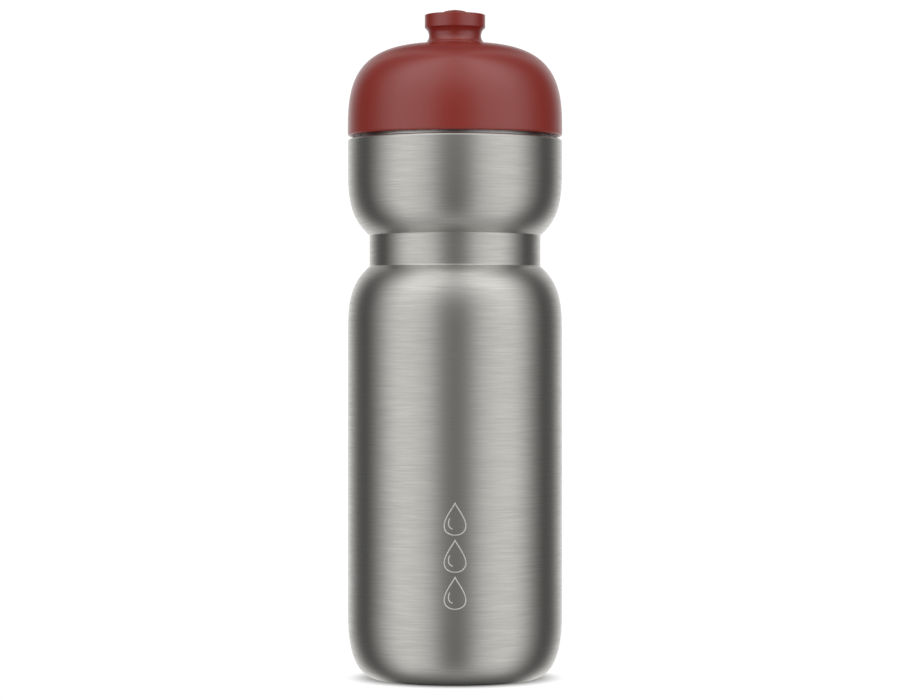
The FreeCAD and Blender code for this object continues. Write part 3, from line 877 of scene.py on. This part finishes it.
def makeFloor():
    half = studio["floorSize"] / 2
    mesh = bpy.data.meshes.new("floor")
    corners = [(-half, -half, 0), (half, -half, 0), (half, half, 0), (-half, half, 0)]
    mesh.from_pydata(corners, [], [(0, 1, 2, 3)])
    floor = bpy.data.objects.new("floor", mesh)
    bpy.context.scene.collection.objects.link(floor)
    material = bpy.data.materials.new("floorPaint")
    material.use_nodes = True
    tree = material.node_tree
    tree.nodes.clear()
    place = newNode(tree, "ShaderNodeTexCoord")
    apart = newNode(tree, "ShaderNodeVectorMath", operation="LENGTH")
    join(tree, place.outputs["Object"], apart.inputs[0])
    near = newNode(tree, "ShaderNodeMapRange", {
        "From Min": studio["shadowOuter"], "From Max": studio["shadowInner"],
    }, interpolation_type="SMOOTHSTEP")
    join(tree, apart.outputs["Value"], near.inputs["Value"])

    def paper(shade):
        return newNode(tree, "ShaderNodeBsdfDiffuse", {"Color": (shade, shade, shade, 1)}).outputs[0]

    def glow(level):
        return newNode(tree, "ShaderNodeEmission", {"Color": (1, 1, 1, 1), "Strength": level}).outputs[0]

    def mixed(factor, first, second):
        mix = newNode(tree, "ShaderNodeMixShader")
        for socket, value in zip(mix.inputs, (factor, first, second)):
            join(tree, value, socket)
        return mix.outputs[0]

    lit = newNode(tree, "ShaderNodeAddShader")
    join(tree, paper(studio["shadowPaint"]), lit.inputs[0])
    join(tree, glow(studio["shadowGlow"]), lit.inputs[1])
    clear = newNode(tree, "ShaderNodeBsdfTransparent").outputs[0]
    split = newNode(tree, "ShaderNodeSeparateXYZ")
    join(tree, place.outputs["Object"], split.inputs[0])
    ahead = newNode(tree, "ShaderNodeMapRange", {
        "From Min": studio["reflectedBack"], "From Max": studio["reflectedFront"],
    }, interpolation_type="SMOOTHSTEP")
    join(tree, split.outputs["Y"], ahead.inputs["Value"])
    # reflections see a dark paper ring in front of the foot: painted shadow
    paintedShadowMask = mathNode(tree, "MULTIPLY", near.outputs[0], ahead.outputs[0])
    seen = mixed(near.outputs[0], glow(studio["paperWhite"]), lit.outputs[0])
    paintedShadowRing = mixed(paintedShadowMask, clear, paper(studio["paintedShadowGrey"]))
    above = mixed(newNode(tree, "ShaderNodeLightPath").outputs["Is Camera Ray"], paintedShadowRing, seen)
    # the paper is clear from underneath, so that the foot can be looked at
    sides = mixed(newNode(tree, "ShaderNodeNewGeometry").outputs["Backfacing"], above, clear)
    output = newNode(tree, "ShaderNodeOutputMaterial")
    join(tree, sides, output.inputs["Surface"])
    mesh.materials.append(material)


def makeWorld():
    # white to the eye; to the bottle, a cove with two soft panels in front and a bright back
    world = bpy.data.worlds.new("studioWorld")
    world.use_nodes = True
    tree = world.node_tree
    tree.nodes.clear()
    place = newNode(tree, "ShaderNodeTexCoord")
    split = newNode(tree, "ShaderNodeSeparateXYZ")
    join(tree, place.outputs["Generated"], split.inputs[0])
    x, y, z = split.outputs
    flat = mathNode(tree, "SQRT", mathNode(tree, "ADD", mathNode(tree, "MULTIPLY", x, x),
                                           mathNode(tree, "MULTIPLY", y, y)))
    backwards = mathNode(tree, "DIVIDE", y, mathNode(tree, "MAXIMUM", flat, 1e-4))
    towards = mathNode(tree, "MULTIPLY", backwards, -1.0)
    turn = mathNode(tree, "DIVIDE", mathNode(tree, "ARCCOSINE", towards), math.pi)
    ramp = newNode(tree, "ShaderNodeValToRGB")
    ramp.color_ramp.interpolation = "CARDINAL"
    stops = ramp.color_ramp.elements
    while len(stops) > 1:
        stops.remove(stops[-1])
    for index, (degrees, level) in enumerate(studio["cove"]):
        stop = stops[0] if index == 0 else stops.new(degrees / 180)
        stop.position = degrees / 180
        stop.color = (level, level, level, 1)
    join(tree, turn, ramp.inputs[0])
    rise = newNode(tree, "ShaderNodeMapRange", {
        "From Min": studio["ceilingStart"], "From Max": studio["ceilingFull"],
    }, interpolation_type="SMOOTHSTEP")
    join(tree, z, rise.inputs["Value"])
    fall = newNode(tree, "ShaderNodeMapRange", {
        "From Min": studio["lowStart"], "From Max": studio["lowFull"],
    }, interpolation_type="SMOOTHSTEP")
    join(tree, z, fall.inputs["Value"])
    overhead = mathNode(tree, "MULTIPLY", rise.outputs[0], studio["ceilingShade"])
    shade = mathNode(tree, "ADD", overhead, fall.outputs[0])
    forward = newNode(tree, "ShaderNodeMapRange", {
        "From Min": studio["ceilingBack"], "From Max": studio["ceilingFront"],
        "To Max": studio["ceilingLevel"],
    }, interpolation_type="SMOOTHSTEP")
    join(tree, y, forward.inputs["Value"])
    added = mathNode(tree, "ADD", mathNode(tree, "MULTIPLY", rise.outputs[0], forward.outputs[0]),
                     mathNode(tree, "MULTIPLY", fall.outputs[0], studio["lowLevel"]))
    behind = newNode(tree, "ShaderNodeMapRange", {
        "From Min": studio["backdropSides"][0], "From Max": studio["backdropSides"][1],
        "To Max": studio["backdropShade"],
    }, interpolation_type="SMOOTHSTEP")
    join(tree, turn, behind.inputs["Value"])
    over = newNode(tree, "ShaderNodeMapRange", {
        "From Min": studio["backdropEdge"][0], "From Max": studio["backdropEdge"][1],
    }, interpolation_type="SMOOTHSTEP")
    join(tree, z, over.inputs["Value"])
    beyond = mathNode(tree, "SUBTRACT", 1.0, mathNode(tree, "MULTIPLY", behind.outputs[0], over.outputs[0]))
    kept = mathNode(tree, "MULTIPLY", mathNode(tree, "SUBTRACT", 1.0, shade), beyond)
    level = mathNode(tree, "ADD", mathNode(tree, "MULTIPLY", ramp.outputs["Color"], kept), added)
    seen = newNode(tree, "ShaderNodeBackground", {"Color": (1, 1, 1, 1), "Strength": studio["seenWhite"]})
    cove = newNode(tree, "ShaderNodeBackground", {"Color": (1, 1, 1, 1)})
    join(tree, level, cove.inputs["Strength"])
    ray = newNode(tree, "ShaderNodeLightPath")
    choose = newNode(tree, "ShaderNodeMixShader")
    join(tree, ray.outputs["Is Camera Ray"], choose.inputs["Fac"])
    join(tree, cove.outputs[0], choose.inputs[1])
    join(tree, seen.outputs[0], choose.inputs[2])
    output = newNode(tree, "ShaderNodeOutputWorld")
    join(tree, choose.outputs[0], output.inputs["Surface"])
    bpy.context.scene.world = world


def makeCamera():
    camera = bpy.data.cameras.new("camera")
    camera.lens = studio["lens"]
    camera.sensor_width = studio["sensor"]
    camera.clip_start = 0.01
    holder = bpy.data.objects.new("camera", camera)
    holder.location = (0, -studio["cameraDistance"], studio["cameraHeight"])
    holder.rotation_euler = (math.radians(90), 0, 0)
    bpy.context.scene.collection.objects.link(holder)
    bpy.context.scene.camera = holder


makeFloor()
makeWorld()
makeCamera()
bpy.context.scene.view_settings.view_transform = "Standard"
print("studio made")
